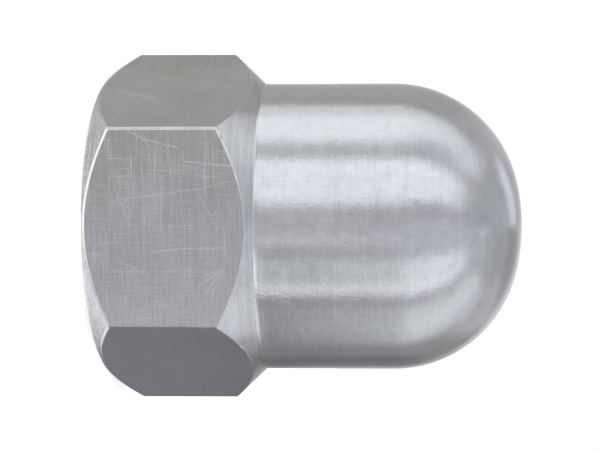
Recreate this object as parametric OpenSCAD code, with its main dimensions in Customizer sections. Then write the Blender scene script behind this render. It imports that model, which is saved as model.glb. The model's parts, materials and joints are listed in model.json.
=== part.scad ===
// Cap nut, domed: a hexagon with a turned cap that closes one end of the thread.
// Upright on its bearing face: z = 0 is that face, +Z is the thread axis, millimetres.

/* [Hexagon] */
// spanner size, flat to flat
across_flats = 19; // [17.5:0.5:22]
// height from the bearing face to where the cap begins
hex_h = 9.5; // [8:0.1:13]
// how far the round edge of the bearing face stands inside the flats
bearing_step = 0.1; // [0.05:0.05:1.5]
// lower chamfer, degrees up from the bearing face
lower_chamfer_deg = 43.5; // [15:0.5:50]
// upper cone between cap and corners, degrees down from level
upper_cone_deg = 46; // [15:0.5:50]

/* [Cap] */
// overall height of the nut
overall_h = 25.5; // [24.6:0.1:32]
// how far the round wall of the cap stands inside the flats
cap_step = 0.5; // [0.3:0.05:0.6]
// radius of the rounded shoulder of the cap
shoulder_r = 7.875; // [6:0.125:8.125]
// radius of the flatter crown over the shoulder
crown_r = 13; // [12:0.1:18]

/* [Thread] */
// nominal diameter of the thread
thread_d = 12; // [10:0.5:13]
// pitch of the thread
thread_pitch = 1.75; // [1:0.25:2]
// depth of the drilled hole down to where its point begins
bore_depth = 19; // [12:0.1:20]
// full angle of the drill point
drill_point_deg = 118; // [118:1:140]
// diameter of the countersink at the bearing face
sink_d = 12.8; // [12.2:0.1:14]
// full angle of the countersink
sink_deg = 90; // [60:1:120]

/* [Hidden] */
// hexagon
corner_r = across_flats / sqrt(3);
bearing_r = across_flats / 2 - bearing_step;
cap_r = across_flats / 2 - cap_step;
// the turned envelope goes a little past the corners so it never grazes them
past = 0.5;
envelope_r = corner_r + past;
lower_z = (envelope_r - bearing_r) * tan(lower_chamfer_deg);
upper_z = hex_h - (envelope_r - cap_r) * tan(upper_cone_deg);
// cap: the shoulder arc is tangent to the wall, the crown arc is tangent to the shoulder
cap_root_z = hex_h / 2;
shoulder_x = cap_r - shoulder_r;
arc_span = crown_r - shoulder_r;
arc_rise = sqrt(arc_span * arc_span - shoulder_x * shoulder_x);
crown_z = overall_h - crown_r;
shoulder_z = crown_z + arc_rise;
// the line through both centres, run on past the crown
line_reach = ceil(crown_r / arc_span) + 1;
line_end_x = shoulder_x * line_reach;
line_end_z = crown_z + arc_rise * line_reach;
// hole
bore_r = (thread_d - thread_pitch) / 2;
point_h = bore_r / tan(drill_point_deg / 2);
sink_r = sink_d / 2;
sink_slope = tan(sink_deg / 2);
sink_h = (sink_r - bore_r) / sink_slope;
// the cutter starts this far outside the face it opens
over = 1;

$fn = 96;

// hexagonal bar with two corners on the X axis
module hex_bar() {
    linear_extrude(height = hex_h)
        circle(r = corner_r, $fn = 6);
}

// lower chamfer and upper cone, turned over the hexagon
module turned_envelope() {
    rotate_extrude()
        polygon([
            [0, 0],
            [bearing_r, 0],
            [envelope_r, lower_z],
            [envelope_r, upper_z],
            [cap_r, hex_h],
            [0, hex_h]
        ]);
}

// half section of the cap: wall, shoulder arc, crown arc
// both arcs are cut by the line through their centres, where they are tangent
module cap_section() {
    translate([0, cap_root_z])
        square([cap_r, shoulder_z - cap_root_z]);
    intersection() {
        translate([shoulder_x, shoulder_z])
            circle(r = shoulder_r);
        polygon([
            [shoulder_x, shoulder_z],
            [cap_r + past, shoulder_z],
            [cap_r + past, line_end_z],
            [line_end_x, line_end_z]
        ]);
    }
    intersection() {
        translate([0, crown_z])
            circle(r = crown_r);
        polygon([
            [0, crown_z],
            [line_end_x, line_end_z],
            [0, line_end_z]
        ]);
    }
}

// drilled hole with its point, and the countersink at the mouth
module drilled_hole() {
    rotate_extrude()
        polygon([
            [0, -over],
            [sink_r + over * sink_slope, -over],
            [bore_r, sink_h],
            [bore_r, bore_depth],
            [0, bore_depth + point_h]
        ]);
}

module cap_nut() {
    color([0.62, 0.63, 0.65])
    difference() {
        union() {
            intersection() {
                hex_bar();
                turned_envelope();
            }
            rotate_extrude() cap_section();
        }
        drilled_hole();
    }
}

cap_nut();
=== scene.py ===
# Domed cap nut: turned from hexagon bar, drilled and tapped, standing on its bearing face.
# Metres throughout, +Z up the thread axis, z = 0 is the bearing face.
import json
import math
import bpy
from mathutils import Matrix, Vector


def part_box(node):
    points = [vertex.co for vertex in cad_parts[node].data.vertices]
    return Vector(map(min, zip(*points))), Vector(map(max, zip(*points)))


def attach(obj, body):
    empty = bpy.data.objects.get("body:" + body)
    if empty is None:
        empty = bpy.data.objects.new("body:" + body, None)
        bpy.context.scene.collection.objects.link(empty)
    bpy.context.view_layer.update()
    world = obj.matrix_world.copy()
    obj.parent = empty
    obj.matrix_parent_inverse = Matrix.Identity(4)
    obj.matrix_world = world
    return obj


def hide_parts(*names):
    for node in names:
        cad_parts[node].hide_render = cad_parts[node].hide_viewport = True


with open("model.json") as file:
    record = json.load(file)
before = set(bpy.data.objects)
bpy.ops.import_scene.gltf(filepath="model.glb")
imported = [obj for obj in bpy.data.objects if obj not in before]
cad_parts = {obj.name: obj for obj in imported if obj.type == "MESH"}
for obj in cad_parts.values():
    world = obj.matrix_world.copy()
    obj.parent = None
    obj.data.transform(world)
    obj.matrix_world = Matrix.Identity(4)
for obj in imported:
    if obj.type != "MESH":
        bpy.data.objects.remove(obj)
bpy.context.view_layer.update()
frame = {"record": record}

mm = 0.001
lowCorner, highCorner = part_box("cap_nut")
threadHole = next(mount for mount in frame["record"]["mounts"] if mount["name"] == "thread")
sideTurn = math.pi / 3            # from one flat of the hexagon to the next
flatFinishes = ("drawnFlat", "frontFlat", "upperFlat")
edgeFinishes = ("brokenEdge", "cornerEdge")

# outside form and drilled hole, the same sizes as the solid
nutForm = {
    "acrossFlats": highCorner.y - lowCorner.y,
    "height": highCorner.z,
    "hexHeight": 9.5 * mm,
    "bearingStep": 0.1 * mm,      # bearing circle inside the flats
    "capStep": 0.5 * mm,          # cap wall inside the flats
    "lowerChamfer": math.radians(43.5),
    "upperCone": math.radians(46),
    "shoulderR": 7.875 * mm,
    "crownR": 13 * mm,
    "boreR": threadHole["dims"]["r_mm"] * mm,
    "boreLength": threadHole["dims"]["length_mm"] * mm,
    "sinkR": 6.4 * mm,
    "drillPoint": math.radians(118),
    "cornerBreak": 0.15 * mm,     # on the hexagon's upright edges
    "chamferBreak": 0.12 * mm,    # where the flats meet the lower chamfer
    "coneBreak": (0.09 * mm, 0.008 * mm),    # and the cone, from one end of a flat to its middle
    "bearingEdge": 0.03 * mm,
    "mouthEdge": 0.06 * mm,
    "neckFillet": 0.3 * mm,
    "barSpare": 4 * mm,           # bar longer than the nut
    "turnClear": 0.5 * mm,        # the tools start this far outside the corners
    "roof": 3.3 * mm,             # metal over the bore, at least
    "turnSteps": 192,
}

# the tap: M12 coarse
threadForm = {
    "majorR": 6.04 * mm,
    "pitch": 1.75 * mm,
    "rootR": 4.8 * mm,            # hidden inside the bore
    "fullDepth": 14.5 * mm,       # full thread to here, then the tap's lead
    "leadLength": 3.2 * mm,
    "noseBelow": 6 * mm,          # how far the tool starts below the mouth
    "noseClear": 0.3 * mm,        # room round the thread, and round the tip of its lead
    "tipClear": 0.1 * mm,
    "stepsPerTurn": 72,
}


def deselectAll():
    if bpy.context.object and bpy.context.object.mode != "OBJECT":
        bpy.ops.object.mode_set(mode="OBJECT")
    bpy.ops.object.select_all(action="DESELECT")


def makeActive(obj):
    deselectAll()
    obj.select_set(True)
    bpy.context.view_layer.objects.active = obj


def editMode(obj, picked="VERT"):
    makeActive(obj)
    bpy.ops.object.mode_set(mode="EDIT")
    bpy.ops.mesh.select_mode(type=picked)


def objectMode():
    bpy.ops.object.mode_set(mode="OBJECT")


def applyPlace(obj):
    makeActive(obj)
    bpy.ops.object.transform_apply(location=True, rotation=True, scale=True)


def boolean(obj, tool, operation):
    makeActive(obj)
    cut = obj.modifiers.new("cut", "BOOLEAN")
    cut.operation = operation
    cut.solver = "EXACT"
    cut.object = tool
    bpy.ops.object.modifier_apply(modifier=cut.name)
    bpy.data.objects.remove(tool)
    cleanMesh(obj)


def cleanMesh(obj, gap=0.0005 * mm):
    editMode(obj)
    bpy.ops.mesh.select_all(action="SELECT")
    bpy.ops.mesh.remove_doubles(threshold=gap)
    bpy.ops.mesh.normals_make_consistent(inside=False)
    objectMode()


# a pen that draws a half section in the XZ plane, one edge after another
def penDown(name, x, z):
    deselectAll()
    bpy.ops.mesh.primitive_plane_add(size=1 * mm, location=(0, 0, 0))
    obj = bpy.context.object
    obj.name = name
    editMode(obj)
    bpy.ops.mesh.select_all(action="SELECT")
    bpy.ops.mesh.merge(type="CENTER")
    bpy.ops.transform.translate(value=(x, 0, z))
    obj["pen"] = (x, z)
    return obj


def lineTo(obj, x, z, rows=1):
    startX, startZ = obj["pen"]
    step = ((x - startX) / rows, 0, (z - startZ) / rows)
    for _ in range(rows):
        bpy.ops.mesh.extrude_region_move(TRANSFORM_OT_translate={"value": step})
    obj["pen"] = (x, z)


def arcRound(obj, centreX, centreZ, sweep, steps):
    x, z = obj["pen"][0] - centreX, obj["pen"][1] - centreZ
    bpy.ops.mesh.spin(steps=steps, angle=sweep, center=(centreX, 0, centreZ), axis=(0, 1, 0))
    obj["pen"] = (
        centreX + x * math.cos(sweep) - z * math.sin(sweep),
        centreZ + x * math.sin(sweep) + z * math.cos(sweep),
    )


def turnProfile(obj, steps):
    halfStep = math.pi / steps    # keeps the rows of faces off the hexagon's corners
    bpy.ops.mesh.select_all(action="SELECT")
    bpy.ops.transform.rotate(value=halfStep, orient_axis="Z", center_override=(0, 0, 0))
    bpy.ops.mesh.spin(steps=steps, angle=math.tau, center=(0, 0, 0), axis=(0, 0, 1))
    objectMode()
    del obj["pen"]
    cleanMesh(obj)


def turnedBlank(form):
    flatR = form["acrossFlats"] / 2
    clearR = flatR / math.cos(math.radians(30)) + form["turnClear"]
    bearingR, capR = flatR - form["bearingStep"], flatR - form["capStep"]
    sinkDepth = form["sinkR"] - form["boreR"]
    boreTop = sinkDepth + form["boreLength"]
    pointTop = boreTop + form["boreR"] / math.tan(form["drillPoint"] / 2)
    shoulderX = capR - form["shoulderR"]
    arcSpan = form["crownR"] - form["shoulderR"]
    arcRise = math.sqrt(arcSpan ** 2 - shoulderX ** 2)
    crownZ = form["height"] - form["crownR"]
    shoulderSweep = math.atan2(arcRise, shoulderX)
    edge, mouth, fillet = form["bearingEdge"], form["mouthEdge"], form["neckFillet"]
    chamfer, cone = form["lowerChamfer"], form["upperCone"]

    # down the inside from the drill point, out over the mouth, up round the outside to the tip
    blank = penDown("turnedBlank", 0, pointTop)
    lineTo(blank, form["boreR"], boreTop, rows=3)
    lineTo(blank, form["boreR"], sinkDepth, rows=12)
    reach = mouth * math.tan(math.pi / 8)
    lineTo(blank, form["sinkR"] - reach * math.cos(math.pi / 4), reach * math.sin(math.pi / 4), rows=2)
    arcRound(blank, form["sinkR"] + reach, mouth, math.pi / 4, steps=3)
    reach = edge * math.tan(chamfer / 2)
    lineTo(blank, bearingR - reach, 0, rows=4)
    arcRound(blank, bearingR - reach, edge, chamfer, steps=2)
    lineTo(blank, clearR, (clearR - bearingR) * math.tan(chamfer))
    lineTo(blank, clearR, form["hexHeight"] - (clearR - capR) * math.tan(cone))
    centreZ = form["hexHeight"] + fillet * (1 - math.sin(cone)) / math.cos(cone)
    coneEndX = capR + fillet * (1 - math.sin(cone))
    lineTo(blank, coneEndX, centreZ - fillet * math.cos(cone), rows=3)
    arcRound(blank, capR + fillet, centreZ, cone - math.pi / 2, steps=4)
    lineTo(blank, capR, crownZ + arcRise, rows=14)
    arcRound(blank, shoulderX, crownZ + arcRise, shoulderSweep, steps=44)
    arcRound(blank, 0, crownZ, math.pi / 2 - shoulderSweep, steps=8)
    turnProfile(blank, form["turnSteps"])
    return blank


def hexagonBar(form):
    deselectAll()
    bpy.ops.mesh.primitive_cylinder_add(
        vertices=6, radius=form["acrossFlats"] / math.sqrt(3), depth=form["height"] + form["barSpare"],
        location=(0, 0, form["height"] / 2), rotation=(0, 0, math.radians(30)))
    bar = bpy.context.object
    bar.name = "capNutBody"
    applyPlace(bar)
    return bar


def facing(point):
    # direction that the nearest flat faces; they face +Y, -Y and every 60 degrees
    turn = math.atan2(point.y, point.x)
    return round((turn - math.pi / 2) / sideTurn) * sideTurn + math.pi / 2


def onFlat(point, form, slack=0.002 * mm):
    out = point.x * math.cos(facing(point)) + point.y * math.sin(facing(point))
    return abs(out - form["acrossFlats"] / 2) < slack


def breakWidth(corners, form):
    # how wide the edge between two corners is broken; nothing for edges off the flats
    if not all(onFlat(corner, form) for corner in corners):
        return 0
    middle, run = (corners[0] + corners[1]) / 2, corners[1] - corners[0]
    if abs(run.z) > 0.99 * run.length:
        return form["cornerBreak"]
    if middle.z < form["hexHeight"] / 2:
        return form["chamferBreak"]
    across = middle.y * math.cos(facing(middle)) - middle.x * math.sin(facing(middle))
    share = 1 + across / form["acrossFlats"] * math.sqrt(3) * 2    # 1 from the middle on
    wide, narrow = form["coneBreak"]
    return wide + (narrow - wide) * min(max(share, 0), 1)


def breakEdges(nut, form, slot):
    mesh = nut.data
    widths = [breakWidth([mesh.vertices[v].co for v in edge.vertices], form) for edge in mesh.edges]
    weights = mesh.attributes.new("bevel_weight_edge", "FLOAT", "EDGE")
    widest = max(widths)
    weights.data.foreach_set("value", [width / widest for width in widths])
    bevel = nut.modifiers.new("edges", "BEVEL")
    bevel.limit_method = "WEIGHT"
    bevel.width = widest
    bevel.segments = 3
    bevel.use_clamp_overlap = False
    bevel.loop_slide = False
    bevel.material = slot
    makeActive(nut)
    bpy.ops.object.modifier_apply(modifier=bevel.name)
    mesh.attributes.remove(mesh.attributes["bevel_weight_edge"])


def tapTool(thread):
    # one thread groove's section, wound up the axis and given the tap's tapered lead
    halfTop = thread["pitch"] / 16
    halfBase = halfTop + (thread["majorR"] - thread["rootR"]) * math.tan(math.radians(30))
    startZ = -1.5 * thread["pitch"]
    tap = penDown("tap", thread["rootR"], startZ - halfBase)
    lineTo(tap, thread["majorR"], startZ - halfTop)
    lineTo(tap, thread["majorR"], startZ + halfTop)
    lineTo(tap, thread["rootR"], startZ + halfBase)
    bpy.ops.mesh.select_all(action="SELECT")
    bpy.ops.mesh.edge_face_add()
    bpy.ops.mesh.delete(type="ONLY_FACE")
    objectMode()
    del tap["pen"]
    endZ = thread["fullDepth"] + thread["leadLength"]
    winding = tap.modifiers.new("winding", "SCREW")
    winding.axis = "Z"
    winding.screw_offset = thread["pitch"]
    winding.iterations = math.ceil((endZ - startZ) / thread["pitch"])
    winding.steps = winding.render_steps = thread["stepsPerTurn"]
    winding.use_smooth_shade = False
    makeActive(tap)
    bpy.ops.object.modifier_apply(modifier=winding.name)
    editMode(tap)
    bpy.ops.mesh.select_all(action="SELECT")
    bpy.ops.mesh.fill_holes(sides=4)
    objectMode()
    cleanMesh(tap)
    noseR, bottomZ = thread["majorR"] + thread["noseClear"], -thread["noseBelow"]
    nose = penDown("tapNose", 0, bottomZ)
    lineTo(nose, noseR, bottomZ)
    lineTo(nose, noseR, thread["fullDepth"])
    lineTo(nose, thread["rootR"] + thread["tipClear"], endZ)
    lineTo(nose, 0, endZ)
    turnProfile(nose, thread["stepsPerTurn"])
    boolean(tap, nose, "INTERSECT")
    return tap


class Signal:
    # a node's output socket that takes Python arithmetic; each step adds a Math node
    def __init__(self, graph, socket):
        self.graph = graph
        self.socket = socket

    def math(self, operation, *others):
        values = dict(enumerate((self,) + others))
        return self.graph.add("ShaderNodeMath", {"operation": operation}, values)

    def __add__(self, other):
        return self.math("ADD", other)

    def __sub__(self, other):
        return self.math("SUBTRACT", other)

    def __mul__(self, other):
        return self.math("MULTIPLY", other)

    def __truediv__(self, other):
        return self.math("DIVIDE", other)

    __radd__ = __add__
    __rmul__ = __mul__

    def ramp(self, start, end, high=1.0):
        # 0 before start, high after end, smooth between; start may be the larger
        return self.graph.add("ShaderNodeMapRange", {"interpolation_type": "SMOOTHSTEP"}, {
            "Value": self, "From Min": start, "From Max": end, "To Max": high})

    def window(self, low, high, edge):
        # 1 between low and high, with soft edges this wide
        rise = self.ramp(low - edge / 2, low + edge / 2)
        return rise * self.ramp(high + edge / 2, high - edge / 2)

    def output(self, name):
        return Signal(self.graph, self.socket.node.outputs[name])


class Graph:
    # the nodes of one material or world
    def __init__(self, owner):
        owner.use_nodes = True
        self.tree = owner.node_tree
        self.tree.nodes.clear()

    def add(self, kind, settings, values, out=0):
        node = self.tree.nodes.new(kind)
        for name, setting in settings.items():
            setattr(node, name, setting)
        for name, value in values.items():
            if isinstance(value, Signal):
                self.tree.links.new(value.socket, node.inputs[name])
            else:
                node.inputs[name].default_value = value
        return Signal(self, node.outputs[out]) if node.outputs else None

    def split(self, vector):
        # the X, Y and Z parts of a vector
        parts = self.add("ShaderNodeSeparateXYZ", {}, {0: vector})
        return parts, parts.output("Y"), parts.output("Z")

    def join(self, x, y, z):
        return self.add("ShaderNodeCombineXYZ", {}, {"X": x, "Y": y, "Z": z})

    def line(self, point, x, y, offset):
        # x and y parts of a point, weighed and added, less an offset
        return self.add("ShaderNodeVectorMath", {"operation": "DOT_PRODUCT"}, {
            0: point, 1: (x, y, -offset)}, out="Value")

    def noise(self, x, y, z, detail=2.0):
        return self.add("ShaderNodeTexNoise", {}, {
            "Vector": self.join(x, y, z), "Scale": 1.0, "Detail": detail})

    def mix(self, factor, first, second):
        return self.add("ShaderNodeMix", {"data_type": "RGBA"}, {
            "Factor": factor, 6: first, 7: second}, out=2)

    def place(self):
        # where the shaded point is, in millimetres
        x, y, z = self.split(self.add("ShaderNodeTexCoord", {}, {}, out="Object"))
        return x * 1000, y * 1000, z * 1000


# the finishes; colours are bare stainless steel, apart from a painted shade on the cone. Sizes are in
# millimetres, a scale is marks per millimetre, and only a bump's depth is in metres.
flatLook = {
    "dark": (0.228, 0.231, 0.243, 1),
    "light": (0.510, 0.514, 0.546, 1),
    "film": (0.316, 0.321, 0.297, 1),    # thin brown handling film
    "filmed": 0.85,               # how thick it gets
    "filmEdge": (0.5, -5),        # across the flat, from where it starts to where it is full
    "filmFray": (6, 7),           # how far the patches and the blots move that edge
    "filmTone": (0.75, -1.5),     # its strength, and what the wide marks do to it
    "scratch": (0.54, 0.545, 0.58, 1),
    "roughness": 0.23,
    "roughPatches": 0.1, "roughScratches": 0.06,    # what those change it by
    "grain": 0.085,               # gap between cross marks
    "grainLength": 1.6,
    "wideGrain": (2.5, 3),        # the wide marks' gap and length, times those
    "crossMarks": 0.5, "wideMarks": 0.4, "drawMarks": 0.4, "speckle": 0.5, "patches": 0.25,
    "speckleScale": 9, "patchScale": 0.3, "blotScale": 0.8, "clusterScale": 0.45,
    "bumpDepth": 0.003 * mm,
    "crossRelief": 0.5, "drawRelief": 0.2, "speckleRelief": 0.3,    # shares of that depth
    "scratchRelief": 0.8,
    "scratchWidth": 0.07, "rubWidth": 0.6,
    "scratchBreaks": (0.35, 0.62), "rubBreaks": (0.44, 0.64),    # by the speckle's noise
    "hairlines": 0.7,             # strength of the small random scratches
    "hairlineCut": (0.64, 0.80),  # noise from which there is one, and where it is full
    "clusterCut": (0.36, 0.60),
    "bareHairlines": 0.3,         # share of them where there is no film to cut through
    "hairlineSets": (             # slant, gap, length and share of that strength
        (1.56, 0.06, 4.0, 1),
        (0.03, 0.06, 2.0, 0.7),
        (1.15, 0.05, 1.8, 0.5),
    ),
}
quietFlatLook = dict(flatLook, dark=(0.236, 0.239, 0.249, 1), light=(0.526, 0.528, 0.556, 1),
                     crossMarks=0.22, wideMarks=0.1, drawMarks=0.25, speckle=0.6, hairlines=0.25)
cleanFlatLook = dict(quietFlatLook, filmed=0.3, hairlines=0.55)
# scratches and rubbed spots on two of the flats, and a nick on the cap: strength, then points
# as height up the nut and place across it
scratches = {
    "frontFlat": [
        (0.75, (2.6, -5.3), (3.7, -4.8), (5.4, -4.4)),
        (0.55, (3.6, -3.8), (4.4, -3.6)),
        (0.55, (5.3, -3.5), (6.3, -3.25)),
        (0.85, (5.7, -3.65), (8.25, -3.4)),
        (0.6, (4.85, -4.8), (4.85, -3.5)),
        (0.5, (4.5, -4.4), (4.45, 0.25)),
        (0.6, (1.55, -2.8), (3.0, -2.85)),
        (0.6, (2.0, -1.55), (4.35, -1.85), (6.65, -2.15), (8.25, -2.55)),
        (0.4, (0.9, -2.35), (1.75, -2.3)),
        (0.45, (4.7, -2.9), (5.75, -3.0)),
        (0.4, (1.95, -2.2), (2.7, -0.1)),
        (0.45, (6.25, -2.4), (7.6, 0.15)),
        (0.35, (7.05, -3.2), (7.05, -2.35)),
        (0.35, (1.55, -3.1), (1.6, -1.35)),
        (0.35, (5.55, -3.1), (5.6, -1.5)),
        (0.45, (4.7, -0.1), (6.15, -0.15)),
        (0.35, (0.45, -1.8), (1.5, -1.8)),
        (0.35, (3.1, -5.1), (3.15, -4.0)),
        (0.3, (2.7, -4.35), (4.0, -4.4)),
        (0.7, (4.0, 1.3), (5.4, 1.15), (7.9, 1.1)),
        (0.4, (0.95, 0.85), (2.05, 0.75)),
        (0.5, (3.5, 0.75), (4.0, 0.7)),
        (0.55, (2.15, 1.85), (2.7, 2.1), (3.75, 2.7)),
        (0.4, (1.75, 2.4), (6.8, 2.4)),
        (0.75, (7.8, 2.25), (6.5, 3.2)),
        (0.6, (7.75, 2.3), (6.85, 3.65)),
        (0.5, (7.9, 2.3), (7.2, 3.7)),
        (0.45, (7.45, 2.3), (6.6, 2.8)),
        (0.45, (7.9, 0.95), (8.05, 1.65)),
    ],
    "upperFlat": [
        (0.8, (1.55, 0.75), (2.1, 0.9), (2.6, 0.95)),
        (0.6, (1.9, 0.5), (2.5, 1.1)),
        (0.7, (2.15, 0.85), (2.9, 1.35)),
        (0.7, (2.6, 0.9), (3.3, 1.5)),
        (0.6, (2.75, 1.3), (3.4, 1.25)),
        (0.6, (3.0, 1.1), (3.9, 2.2)),
        (0.6, (3.35, 1.2), (3.5, 2.1)),
        (0.5, (3.1, 1.75), (3.8, 1.6)),
        (0.4, (1.2, 0.3), (1.6, 0.65)),
    ],
    "cap": [
        (0.8, (9.72, 3.64), (10.1, 3.76), (10.55, 3.64), (11.3, 3.84)),
    ],
    "upperRubs": [
        (0.7, (1.3, 0.5), (2.3, 1.0), (3.1, 1.4), (3.6, 2.0)),
        (0.5, (2.9, 1.9), (3.6, 1.7)),
    ],
    "frontRubs": [
        (0.5, (1.7, -2.9), (2.7, -2.4)),
        (0.4, (3.1, -4.2), (4.4, -3.6)),
        (0.4, (5.2, -3.2), (7.0, -3.0)),
        (0.35, (1.7, -1.6), (2.6, -1.2)),
    ],
}
chamferEdgeLook = {
    "dark": (0.445, 0.445, 0.455, 1),
    "light": (0.505, 0.505, 0.52, 1),
    "roughness": 0.26,
    "roughNicks": 0.1,
    "nickScale": 1.2,
    "nickCut": (0.35, 0.65),
    "bumpDepth": 0.002 * mm,
}
cornerEdgeLook = dict(chamferEdgeLook, dark=(0.36, 0.355, 0.36, 1), light=(0.415, 0.41, 0.415, 1))
capLook = {
    "dark": (0.250, 0.256, 0.271, 1),
    "light": (0.570, 0.583, 0.615, 1),
    "roughness": 0.215,
    "roughPatches": 0.08, "roughSpeckle": 0.05,    # what those change it by
    "polish": 0.10,               # roughness lost towards the tip of the crown
    "polishZ": (19.5, 23.5),
    "anisotropy": 0.8,
    "feed": 0.085,                # the tool's travel in a turn
    "travel": (1.0, -1.0),        # how much of it is up the axis, and outwards
    "lines": 0.18, "hatch": 0.12, "bands": 0.12, "speckle": 0.2, "mottle": 0.18, "patches": 0.2,
    "lineRound": 4, "hatchRound": 75, "bandRound": 1.5,    # how often they change round the axis
    "hatchGap": 1.2,
    "bandFeeds": 5,               # turns of the tool in a band
    "speckleScale": 10, "mottleScale": 1.8, "patchScale": 0.35,
    "bumpDepth": 0.005 * mm,
    "lineRelief": 0.5, "hatchRelief": 0.2, "bandRelief": 0.3,    # shares of that depth
    "speckleRelief": 1.0, "mottleRelief": 1.1,
    # painted shade on the two sides that face along X: the colour they darken to, then how much and
    # where
    "paintedShade": (0.245, 0.243, 0.232, 1),
    "neckPaintedShade": 0.0,
    "paintedShadeX": (5.9, 6.9),         # from where it starts on both sides to where it is full
    "farPaintedShadeX": (6.6, 8.0),      # and where more is added on the far side
    "farPaintedShade": 0.85,             # how much more
    "paintedShadeFray": 1.5,             # how far the patches move its edge
    "handled": 0.65,              # contrast added on the side that is handled most
    "handledY": (-7.0, -8.6),
    "contrast": 0.85,             # of the other sides
    "nickWidth": 0.07,
}
# the cone gets the painted shade on its two sides along X
coneLook = dict(capLook, dark=(0.290, 0.297, 0.313, 1), light=(0.665, 0.68, 0.714, 1),
                roughness=0.24, polish=0.0, anisotropy=0.6, feed=0.10, lines=0.45, hatch=0.1,
                bands=0.35, speckle=0.42, patches=0.3, neckPaintedShade=0.58, handled=0.15)
chamferLook = dict(coneLook, dark=(0.262, 0.269, 0.284, 1), light=(0.60, 0.615, 0.645, 1),
                   travel=(1.0, 1.0), roughness=0.32, lines=1.5, speckle=2.0, mottle=0.6, neckPaintedShade=0.0,
                   bumpDepth=0.012 * mm, speckleRelief=1.5, mottleRelief=2.4)
boreLook = dict(capLook, anisotropy=0.0, roughness=0.3, polish=0.0, travel=(1.0, 0.0))


def steel(graph, colour, roughness, height, depth, anisotropy=0.0):
    bump = graph.add("ShaderNodeBump", {}, {"Height": height, "Distance": depth})
    metal = graph.add("ShaderNodeBsdfPrincipled", {}, {
        "Base Color": colour, "Metallic": 1.0, "Roughness": roughness, "Normal": bump,
        "Anisotropic": anisotropy, "Anisotropic Rotation": 0.25})
    graph.add("ShaderNodeOutputMaterial", {}, {"Surface": metal})


# each pattern is noise about a half; a share says how much of it goes into the tone
def blend(shares):
    tone = 0.5
    for pattern, share in shares:
        tone = tone + (pattern - 0.5) * share
    return tone


# lathe marks run round the axis and lie side by side along the tool's travel
def turnedSteel(name, look, paths=()):
    material = bpy.data.materials.new(name)
    graph = Graph(material)
    x, y, z = graph.place()
    radius = (x * x + y * y).math("SQRT")
    travel = z * look["travel"][0] + radius * look["travel"][1]

    # noise that changes so often round the axis and so far along the travel
    def ringNoise(often, gap, detail=2.0):
        return graph.noise(x / radius * often, y / radius * often, travel / gap, detail)

    def evenNoise(scale, detail=2.0):
        return graph.noise(x * scale, y * scale, z * scale, detail)

    patterns = {
        "lines": ringNoise(look["lineRound"], look["feed"]),
        "hatch": ringNoise(look["hatchRound"], look["hatchGap"]),
        "bands": ringNoise(look["bandRound"], look["feed"] * look["bandFeeds"], detail=1.0),
        "speckle": evenNoise(look["speckleScale"]),
        "mottle": evenNoise(look["mottleScale"], detail=1.0),
        "patches": evenNoise(look["patchScale"]),
    }
    tone = blend((pattern, look[share]) for share, pattern in patterns.items())
    tone = (tone - 0.5) * (y.ramp(*look["handledY"], look["handled"]) + look["contrast"]) + 0.5
    # painted shade: the two sides that face along the X axis are darkened, more at the far one
    uneven = patterns["patches"] - 0.5
    paintedShade = x.math("ABSOLUTE") + uneven * look["paintedShadeFray"]
    paintedShade = paintedShade.ramp(*look["paintedShadeX"], look["neckPaintedShade"])
    paintedShade = paintedShade + x.ramp(*look["farPaintedShadeX"], look["neckPaintedShade"] * look["farPaintedShade"])
    colour = graph.mix(paintedShade, graph.mix(tone, look["dark"], look["light"]), look["paintedShade"])
    if paths:
        nicks = scratchMask(graph, graph.join(x, z, 1.0), paths, look["nickWidth"]) * y.ramp(1, -1)
        colour = graph.mix(nicks, colour, flatLook["scratch"])
    roughness = look["roughness"] + uneven * look["roughPatches"]
    roughness = roughness + (patterns["speckle"] - 0.5) * look["roughSpeckle"]
    roughness = roughness - z.ramp(*look["polishZ"], look["polish"])
    height = patterns["lines"] * look["lineRelief"]
    for share, relief in (("hatch", "hatchRelief"), ("bands", "bandRelief"),
                          ("speckle", "speckleRelief"), ("mottle", "mottleRelief")):
        height = height + patterns[share] * look[relief]
    steel(graph, colour, roughness, height, look["bumpDepth"], look["anisotropy"])
    return material


def scratchMask(graph, point, paths, width, share=0.85, endFade=(0.1, -0.05)):
    # straight soft-edged strokes from point to point along each path; the strongest one counts
    mask = None
    for strength, *points in paths:
        for (startZ, startX), (endZ, endX) in zip(points, points[1:]):
            length = math.hypot(endZ - startZ, endX - startX)
            alongX, alongZ = (endX - startX) / length, (endZ - startZ) / length
            middleX, middleZ = (startX + endX) / 2, (startZ + endZ) / 2
            along = graph.line(point, alongX, alongZ, middleX * alongX + middleZ * alongZ)
            aside = graph.line(point, alongZ, -alongX, middleX * alongZ - middleZ * alongX)
            line = aside.math("ABSOLUTE").ramp(width, 0, strength * share)
            ends = [length / 2 + fade for fade in endFade]
            line = line * along.math("ABSOLUTE").ramp(*ends)
            mask = line if mask is None else mask.math("MAXIMUM", line)
    return mask


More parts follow.
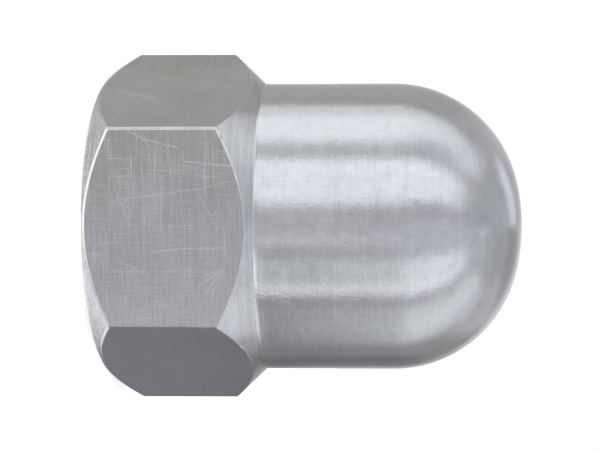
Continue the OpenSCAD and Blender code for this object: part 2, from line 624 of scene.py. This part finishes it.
# drawn bar with cross marks from handling; scratched and rubbed where paths are given
def drawnSteel(name, look, paths=(), rubs=()):
    material = bpy.data.materials.new(name)
    graph = Graph(material)
    x, y, z = graph.place()
    side = ((y.math("ARCTAN2", x) - math.pi / 2) / sideTurn).math("ROUND")
    turn = side * sideTurn + math.pi / 2
    across = y * turn.math("COSINE") - x * turn.math("SINE")
    seed = side * 7.3             # each flat gets its own marks

    def flatNoise(scale, offset):
        return graph.noise(across * scale, z * scale, seed + offset)

    grain, grainLength = look["grain"], look["grainLength"]
    wideGap, wideLength = look["wideGrain"]
    cross = graph.noise(z / grain, across / grainLength, seed)
    wide = graph.noise(z / (grain * wideGap), across / (grainLength * wideLength), seed + 1)
    drawn = graph.noise(z / grainLength, across / grain, seed + 3)
    speckle = graph.noise(z * look["speckleScale"], across * look["speckleScale"], seed)
    patches = flatNoise(look["patchScale"], 5)
    tone = blend(((cross, look["crossMarks"]), (wide, look["wideMarks"]),
                  (drawn, look["drawMarks"]), (speckle, look["speckle"]),
                  (patches, look["patches"])))
    colour = graph.mix(tone, look["dark"], look["light"])
    # the film lies on one half of each flat and fades out in uneven patches
    blots = flatNoise(look["blotScale"], 7)
    patchFray, blotFray = look["filmFray"]
    film = across + (patches - 0.5) * patchFray + (blots - 0.5) * blotFray
    film = film.ramp(*look["filmEdge"], look["filmed"])
    filmTone, filmGrain = look["filmTone"]
    colour = graph.mix(film * (filmTone + (wide - 0.5) * filmGrain), colour, look["film"])

    # light random scratches: long thin ridges of stretched noise at a few slants, fewer
    # where there is no film to cut through
    lines = None
    for slant, gap, length, share in look["hairlineSets"]:
        alongX, alongZ = math.sin(slant), math.cos(slant)
        streak = graph.noise((across * alongX + z * alongZ) / length,
                             (across * alongZ - z * alongX) / gap, seed + slant * 20, detail=0.0)
        streak = streak.ramp(*look["hairlineCut"], look["hairlines"] * share)
        lines = streak if lines is None else lines.math("MAXIMUM", streak)
    clusters = flatNoise(look["clusterScale"], 9)
    lines = lines * clusters.ramp(*look["clusterCut"]) * (film + look["bareHairlines"])
    point = graph.join(across, z, 1.0)
    if paths:
        broken = 0.5 + speckle.ramp(*look["scratchBreaks"], 0.5)
        placed = scratchMask(graph, point, paths, look["scratchWidth"]) * broken
        lines = lines.math("MAXIMUM", placed)
    if rubs:
        rubbed = scratchMask(graph, point, rubs, look["rubWidth"])
        rubbed = rubbed * speckle.ramp(*look["rubBreaks"])
        lines = lines.math("MAXIMUM", rubbed)
    colour = graph.mix(lines, colour, look["scratch"])
    roughness = look["roughness"] + (patches - 0.5) * look["roughPatches"]
    roughness = roughness + lines * look["roughScratches"]
    height = cross * look["crossRelief"] + drawn * look["drawRelief"]
    height = height + speckle * look["speckleRelief"] - lines * look["scratchRelief"]
    steel(graph, colour, roughness, height, look["bumpDepth"])
    return material


def wornEdge(name, look):
    material = bpy.data.materials.new(name)
    graph = Graph(material)
    x, y, z = (part * look["nickScale"] for part in graph.place())
    nicks = graph.noise(x, y, z, detail=3.0)
    colour = graph.mix(nicks.ramp(*look["nickCut"]), look["dark"], look["light"])
    roughness = look["roughness"] + (nicks - 0.5) * look["roughNicks"]
    steel(graph, colour, roughness, nicks, look["bumpDepth"])
    return material


def makeFinishes():
    return [
        turnedSteel("turnedCap", capLook, scratches["cap"]),
        wornEdge("brokenEdge", chamferEdgeLook),
        wornEdge("cornerEdge", cornerEdgeLook),
        turnedSteel("turnedCone", coneLook),
        turnedSteel("turnedChamfer", chamferLook),
        turnedSteel("tappedBore", boreLook),
        drawnSteel("drawnFlat", cleanFlatLook),
        drawnSteel("frontFlat", flatLook, scratches["frontFlat"], scratches["frontRubs"]),
        drawnSteel("upperFlat", quietFlatLook, scratches["upperFlat"], scratches["upperRubs"]),
    ]


def slotNumber(nut, name):
    return nut.data.materials.find(name)


def finishName(face, form, slack=0.1 * mm):
    # which cut of the tool a face came from, told by its place and slope
    centre, out = face.center, face.normal
    inside = math.hypot(centre.x, centre.y) < form["sinkR"] + slack
    if inside and centre.z < form["height"] - form["roof"] and out.z > -0.99:
        return "tappedBore"
    if abs(out.z) < 0.01 and onFlat(centre, form):
        if out.y < -0.9:
            return "frontFlat"
        return "upperFlat" if out.x < -0.5 and out.y < 0 else "drawnFlat"
    if out.z < -0.3:
        return "turnedChamfer"
    if centre.z < form["hexHeight"] + form["neckFillet"] and out.z > 0.3:
        return "turnedCone"
    return "turnedCap"


def dressNut(nut, form):
    worn = slotNumber(nut, "brokenEdge")
    for face in nut.data.polygons:
        if face.material_index != worn:
            face.material_index = slotNumber(nut, finishName(face, form))
        elif abs(face.normal.z) < 0.1:
            face.material_index = slotNumber(nut, "cornerEdge")


# shading normals as the machine left them: flats dead flat, cones truly round
def trueNormals(nut, form, slack=0.002):
    makeActive(nut)
    bpy.ops.object.shade_smooth_by_angle(angle=math.radians(30))
    mesh = nut.data
    names = [material.name for material in mesh.materials]
    normals = [corner.vector.copy() for corner in mesh.corner_normals]
    slopes = (math.cos(form["upperCone"]), -math.cos(form["lowerChamfer"]))
    shared = {}
    for face in mesh.polygons:
        name = names[face.material_index]
        flat = name in flatFinishes
        straight = any(abs(face.normal.z - slope) < slack for slope in slopes)
        for corner in face.loop_indices:
            vertex = mesh.loops[corner].vertex_index
            if flat:
                normals[corner] = face.normal.copy()
            elif straight and name not in edgeFinishes:
                out = mesh.vertices[vertex].co.copy()
                out.z = 0
                normals[corner] = out.normalized() * math.sqrt(1 - face.normal.z ** 2)
                normals[corner].z = face.normal.z
            else:
                continue
            shared.setdefault(vertex, []).append(normals[corner])
    for face in mesh.polygons:
        if names[face.material_index] in edgeFinishes:
            for corner in face.loop_indices:
                nearby = shared.get(mesh.loops[corner].vertex_index)
                if nearby:
                    normals[corner] = max(nearby, key=face.normal.dot)
    mesh.normals_split_custom_set(normals)


def report(nut, words):
    mesh = nut.data
    mesh.calc_loop_triangles()
    print(words, len(mesh.polygons), "faces,", len(mesh.loop_triangles), "triangles")


# what the metal mirrors. Each panel: azimuth from, to and edge, elevation from, to and edge
# in degrees, brightness, and how much red and blue differ from green. Azimuth 0 is the side
# the camera stands on, turning towards -X. A later panel covers the ones before it.
studio = {
    "tent": (0.86, 0.03, 0.03),    # what is left between the panels
    "panels": {
        "ceiling": (-190, 190, 1, 64, 100, 18, 0.84, -0.03, 0.01),
        "frontCeiling": (-44, -4, 12, 77, 90, 4, 1.30, -0.03, 0.03),
        "blueCeiling": (-14, 26, 14, 76, 90, 5, 0.90, -0.03, 0.17),
        "frontGlow": (-30, 6, 9, 6, 68, 10, 1.06, -0.03, 0.02),
        "keyPanel": (21.5, 55, 9, -60, 56, 24, 1.78, -0.03, 0.0),
        "keyGap": (54, 70, 6, -60, 11, 8, 1.05, 0.0, 0.0),
        "keyPanelLow": (17, 50, 8, -60, 8, 12, 1.78, -0.03, 0.0),
        "keyPanelCore": (45, 53, 6, -60, 50, 20, 1.95, -0.03, 0.0),
        "sidePanel": (67.5, 109.5, 5, -60, 60, 18, 1.45, -0.02, 0.0),
        "sidePanelCore": (71, 98, 8, -60, 26, 40, 1.85, -0.02, 0.0),
        "sidePanelShade": (58, 77, 8, 16, 46, 16, 1.0, -0.01, 0.02),
        "sideWall": (108, 164, 8, -60, 66, 12, 0.76, 0.02, 0.02),
        "sideHigh": (104, 124, 10, 44, 60, 8, 0.96, -0.01, 0.02),
        "sideWallLow": (109, 181, 5, -60, 27, 10, 0.66, 0.02, -0.02),
        "sideWallWarm": (110, 134, 12, -60, 21, 8, 0.70, 0.02, -0.05),
        "sidePanelFoot": (97.5, 110.5, 3, -60, 8, 8, 1.42, 0.0, 0.0),
        "rearWall": (140, 162, 8, -60, 20, 10, 0.60, 0.01, -0.01),
        "rearBack": (162, 181, 6, 28, 42, 6, 0.66, 0.0, 0.02),
        "rearStrip": (160, 181, 8, 8, 26, 8, 0.72, 0.0, 0.02),
        "rearTop": (146, 181, 13, 43.5, 57, 6, 1.32, -0.02, 0.07),
        "farPanel": (-54.5, -25, 6, 1, 60, 12, 1.60, -0.03, 0.0),
        "keyZenith": (12, 60, 10, 78, 91, 4, 0.74, -0.02, 0.01),
        "farHigh": (-90, -36, 14, 66, 80, 8, 1.0, -0.04, 0.01),
        "farPanelEdge": (-53, -45, 6, 2, 50, 12, 1.88, -0.02, 0.0),
        "farSidePanel": (-102.5, -66, 6, 2.3, 63, 8, 1.34, -0.03, 0.0),
        "farSideCore": (-92, -76, 10, 3, 62, 9, 1.46, -0.03, 0.0),
        "farSideHigh": (-114, -98, 8, 36, 58, 10, 1.18, -0.02, 0.01),
        "farWall": (-181, -109, 8, -60, 28, 14, 0.47, 0.02, -0.03),
        "farWallNear": (-126, -109, 8, -12, 24, 14, 0.56, 0.01, -0.04),
        "farRearLow": (-181, -150, 6, -4, 16, 6, 0.60, 0.0, 0.03),
        "farRearStrip": (-181, -154, 6, 15, 29, 5, 0.86, 0.0, 0.02),
        "farRearTop": (-181, -150, 14, 33, 60, 8, 0.56, 0.02, 0.02),
        "lowBand": (-45, -27, 8, -60, -1, 5, 0.80, -0.02, 0.0),
        "lowStreak": (-54, -45.5, 5, -60, 2, 10, 1.42, 0.0, 0.0),
        "lowScreen": (-88, -55, 6, -60, -2, 4, 0.47, 0.03, 0.03),
        "lowFarScreen": (-126, -88, 8, -60, -1, 5, 0.39, 0.02, 0.02),
        "lowFarGap": (-150, -124, 6, -60, 10, 12, 0.30, 0.02, 0.10),
        "lowFarEdge": (-153, -138, 6, -6, 9, 6, 0.33, 0.01, 0.03),
        "lowFarFoot": (-157, -132, 6, -60, -3.5, 5, 0.23, 0.02, 0.06),
        "lowFarShade": (-132, -95, 8, -60, -6, 6, 0.43, 0.03, 0.09),
        "lowScreenDark": (-104, -73, 7, -60, -2.5, 4, 0.35, 0.02, 0.03),
        "thinStreak": (-14.5, -6, 4, -60, 2, 10, 1.22, 0.04, 0.03),
        "thinGap": (-25, -16, 5, -60, -1, 6, 0.68, 0.04, 0.03),
        "underside": (-190, 190, 1, -100, -44, 16, 1.25, 0.0, 0.0),
        "sideUnder": (105, 181, 14, -100, -38, 12, 0.98, 0.02, -0.03),
        "underPanel": (-6, 60, 12, -76, -26, 12, 2.3, 0.0, 0.0),
        "farRearHigh": (-181, -118, 16, 58, 76, 8, 0.74, -0.01, 0.02),
        "farUnderEdge": (-136, -85, 12, -58, -28, 10, 1.9, 0.0, 0.0),
        "farUnderPanel": (-181, -120, 12, -76, -50, 12, 1.7, 0.0, 0.0),
    },
}


def shade(level, red, blue):
    return (level * (1 + red), level, level * (1 + blue), 1)


def studioWorld():
    world = bpy.data.worlds.new("studio")
    bpy.context.scene.world = world
    graph = Graph(world)
    x, y, z = graph.split(graph.add("ShaderNodeTexCoord", {}, {}, out="Generated"))
    azimuth = (x * -1).math("ARCTAN2", y * -1) * math.degrees(1)
    elevation = z.math("ARCSINE") * math.degrees(1)
    colour = shade(*studio["tent"])
    for left, right, edge, low, high, fade, *light in studio["panels"].values():
        mask = azimuth.window(left, right, edge) * elevation.window(low, high, fade)
        colour = graph.mix(mask, colour, shade(*light))
    isCamera = graph.add("ShaderNodeLightPath", {}, {}, out="Is Camera Ray")
    colour = graph.mix(isCamera, colour, (1, 1, 1, 1))
    light = graph.add("ShaderNodeBackground", {}, {"Color": colour, "Strength": 1.0})
    graph.add("ShaderNodeOutputWorld", {}, {"Surface": light})


# a matt white sheet; the lift is light of its own that only the camera sees
floorLook = {"size": 1.6, "colour": (0.8, 0.8, 0.8, 1), "lift": 0.45}


def floorSheet(look):
    deselectAll()
    bpy.ops.mesh.primitive_plane_add(size=look["size"], location=(0, 0, 0))
    floor = bpy.context.object
    floor.name = "floor"
    applyPlace(floor)
    material = bpy.data.materials.new("paleFloor")
    graph = Graph(material)
    isCamera = graph.add("ShaderNodeLightPath", {}, {}, out="Is Camera Ray")
    matt = graph.add("ShaderNodeBsdfDiffuse", {}, {"Color": look["colour"]})
    lift = graph.add("ShaderNodeEmission", {}, {"Strength": isCamera * look["lift"]})
    surface = graph.add("ShaderNodeAddShader", {}, {0: matt, 1: lift})
    graph.add("ShaderNodeOutputMaterial", {}, {"Surface": surface})
    floor.data.materials.append(material)
    floor.visible_glossy = False    # the metal mirrors the studio instead


# millimetres; the camera lies on its side, so that up the nut's axis is to the right
cameraView = {
    "eye": (-0.45, -65.8, 15.15), "aim": (2.45, 0, 13.85),
    "lens": 61.8, "shift": (-0.06, 0.067),
}


def standCamera(view):
    data = bpy.data.cameras.new("camera")
    data.lens = view["lens"]
    data.shift_x, data.shift_y = view["shift"]
    data.clip_start, data.clip_end = 1 * mm, 10
    camera = bpy.data.objects.new("camera", data)
    bpy.context.scene.collection.objects.link(camera)
    eye, aim = Vector(view["eye"]) * mm, Vector(view["aim"]) * mm
    ahead = (aim - eye).normalized()
    right = ahead.cross(Vector((-1, 0, 0))).normalized()
    above = right.cross(ahead)
    turn = Matrix((right, above, -ahead)).transposed()
    camera.matrix_world = Matrix.Translation(eye) @ turn.to_4x4()
    bpy.context.scene.camera = camera


blank = turnedBlank(nutForm)
print("blank turned")
nut = hexagonBar(nutForm)
for finish in makeFinishes():
    nut.data.materials.append(finish)
boolean(nut, blank, "INTERSECT")
report(nut, "bar turned down:")
breakEdges(nut, nutForm, slotNumber(nut, "brokenEdge"))
report(nut, "edges broken:")
boolean(nut, tapTool(threadForm), "DIFFERENCE")
report(nut, "thread cut:")
dressNut(nut, nutForm)
trueNormals(nut, nutForm)
print("finishes on")

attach(nut, "root")
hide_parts("cap_nut")

studioWorld()
floorSheet(floorLook)
standCamera(cameraView)
bpy.context.scene.view_settings.view_transform = "Standard"
print("studio set")
